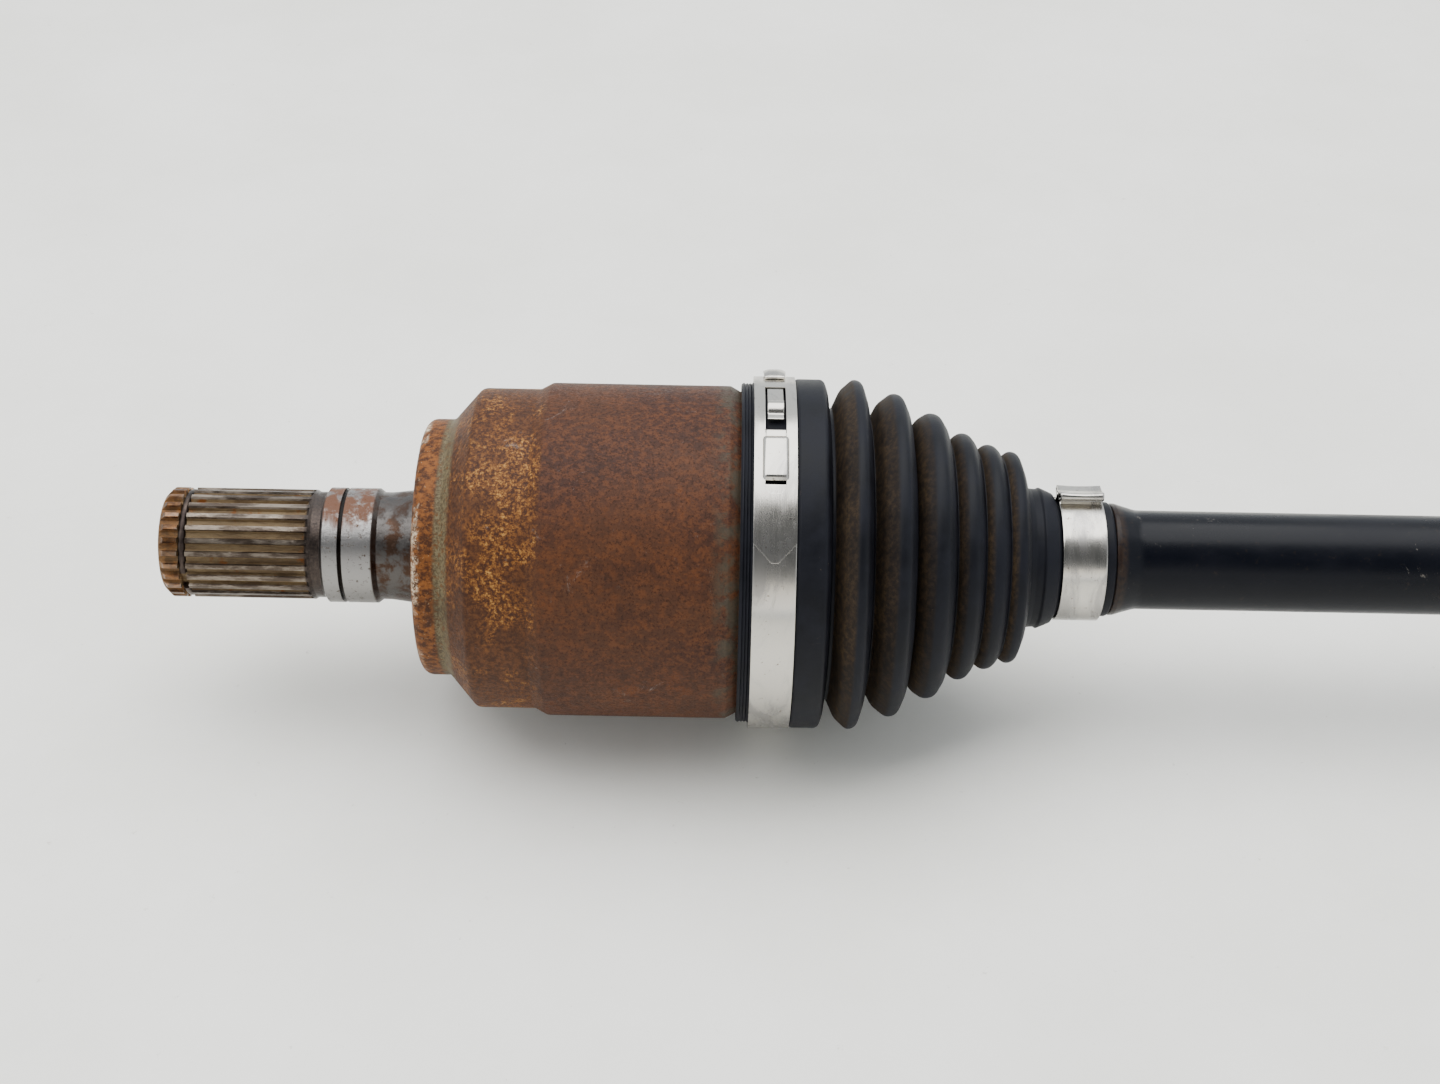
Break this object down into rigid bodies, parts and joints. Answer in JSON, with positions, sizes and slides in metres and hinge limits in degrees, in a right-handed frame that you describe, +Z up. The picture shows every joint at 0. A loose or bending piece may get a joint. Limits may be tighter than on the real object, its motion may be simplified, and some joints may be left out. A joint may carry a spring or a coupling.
{
  "type": "cv axle half shaft",
  "caption": "Front-wheel half shaft: a sliding tripod joint and a ball joint under rubber bellows boots, joined by a bar, with a splined inner stub and a splined, threaded outer stub.",
  "frame": {"origin": "on the axle's axis, at the middle of the plain journal of the inner stub", "axes": "X along the axle, -X out of the gearbox end and +X towards the wheel end; +Z up as it lies on a bench"},
  "size_m": [0.683, 0.092, 0.092],
  "materials": {
    "rusted_forging": "machined and forged steel under thin orange-brown rust, ground journal left bright",
    "machined_forging": "machined steel with light rust",
    "black_paint": "satin black paint",
    "boot_rubber": "matte black thermoplastic rubber with brown dust in the folds",
    "stainless_band": "brushed stainless strip",
    "spring_steel": "oiled dark spring steel",
    "hardened_steel": "ground hardened steel",
    "bearing_steel": "polished bearing steel",
    "washer_steel": "plain steel"
  },
  "bodies": {
    "inner_housing": {"inner_housing": "rusted_forging", "inner_large_band": "stainless_band"},
    "snap_ring": {"stub_snap_ring": "spring_steel"},
    "inner_boot": {"inner_boot": "boot_rubber"},
    "spider_circlip": {"spider_circlip": "spring_steel"},
    "shaft": {"bar_shaft": "black_paint", "spider": "hardened_steel", "inner_race": "hardened_steel", "inner_small_band": "stainless_band", "outer_small_band": "stainless_band", "needles_1": "bearing_steel", "needles_2": "bearing_steel", "needles_3": "bearing_steel", "needle_washer_1": "bearing_steel", "needle_washer_2": "bearing_steel", "needle_washer_3": "bearing_steel", "trunnion_ring_1": "spring_steel", "trunnion_ring_2": "spring_steel", "trunnion_ring_3": "spring_steel"},
    "roller_1": {"roller_1": "bearing_steel"},
    "roller_2": {"roller_2": "bearing_steel"},
    "roller_3": {"roller_3": "bearing_steel"},
    "race_circlip": {"race_circlip": "spring_steel"},
    "outer_boot": {"outer_boot": "boot_rubber"},
    "shoulder_washer": {"shoulder_washer": "washer_steel"},
    "cage": {"ball_cage": "hardened_steel", "ball_1": "bearing_steel", "ball_2": "bearing_steel", "ball_3": "bearing_steel", "ball_4": "bearing_steel", "ball_5": "bearing_steel", "ball_6": "bearing_steel"},
    "outer_bell": {"outer_bell": "machined_forging", "outer_large_band": "stainless_band"}
  },
  "joints": [
    {"name": "inner_bend_plane", "type": "hinge", "parent": "inner_housing", "child": "snap_ring", "pos_m": [0.08645, 0, 0], "axis": [1, 0, 0], "continuous": true},
    {"name": "inner_plunge", "type": "slide", "parent": "snap_ring", "child": "inner_boot", "axis": [1, 0, 0], "range_m": [-0.012, 0.012], "deforming": ["inner_boot"]},
    {"name": "inner_bend", "type": "hinge", "parent": "inner_boot", "child": "spider_circlip", "pos_m": [0.08645, 0, 0], "axis": [0, 1, 0], "range_deg": [-16, 16]},
    {"name": "inner_bend_plane_return", "type": "hinge", "parent": "spider_circlip", "child": "shaft", "pos_m": [0.08645, 0, 0], "axis": [1, 0, 0], "continuous": true},
    {"name": "roller_1_spin", "type": "hinge", "parent": "shaft", "child": "roller_1", "pos_m": [0.08645, 0, 0], "axis": [0, 0, 1], "continuous": true},
    {"name": "roller_2_spin", "type": "hinge", "parent": "shaft", "child": "roller_2", "pos_m": [0.08645, 0, 0], "axis": [0, -0.866, -0.5], "continuous": true},
    {"name": "roller_3_spin", "type": "hinge", "parent": "shaft", "child": "roller_3", "pos_m": [0.08645, 0, 0], "axis": [0, 0.866, -0.5], "continuous": true},
    {"name": "outer_bend_plane", "type": "hinge", "parent": "shaft", "child": "race_circlip", "pos_m": [0.51845, 0, 0], "axis": [1, 0, 0], "continuous": true},
    {"name": "outer_bend", "type": "hinge", "parent": "race_circlip", "child": "outer_boot", "pos_m": [0.51845, 0, 0], "axis": [0, 1, 0], "range_deg": [-20, 20], "deforming": ["outer_boot"]},
    {"name": "outer_bend_bell_half", "type": "hinge", "parent": "outer_boot", "child": "shoulder_washer", "pos_m": [0.51845, 0, 0], "axis": [0, 1, 0], "range_deg": [-20, 20]},
    {"name": "outer_bend_plane_return", "type": "hinge", "parent": "shoulder_washer", "child": "outer_bell", "pos_m": [0.51845, 0, 0], "axis": [1, 0, 0], "continuous": true},
    {"name": "cage_plane_return", "type": "hinge", "parent": "outer_boot", "child": "cage", "pos_m": [0.51845, 0, 0], "axis": [1, 0, 0], "continuous": true}
  ],
  "couplings": [
    {"joint": "inner_bend_plane_return", "follows": "inner_bend_plane", "ratio": -1},
    {"joint": "outer_bend_bell_half", "follows": "outer_bend", "ratio": 1},
    {"joint": "outer_bend_plane_return", "follows": "outer_bend_plane", "ratio": -1},
    {"joint": "cage_plane_return", "follows": "outer_bend_plane", "ratio": -1}
  ]
}
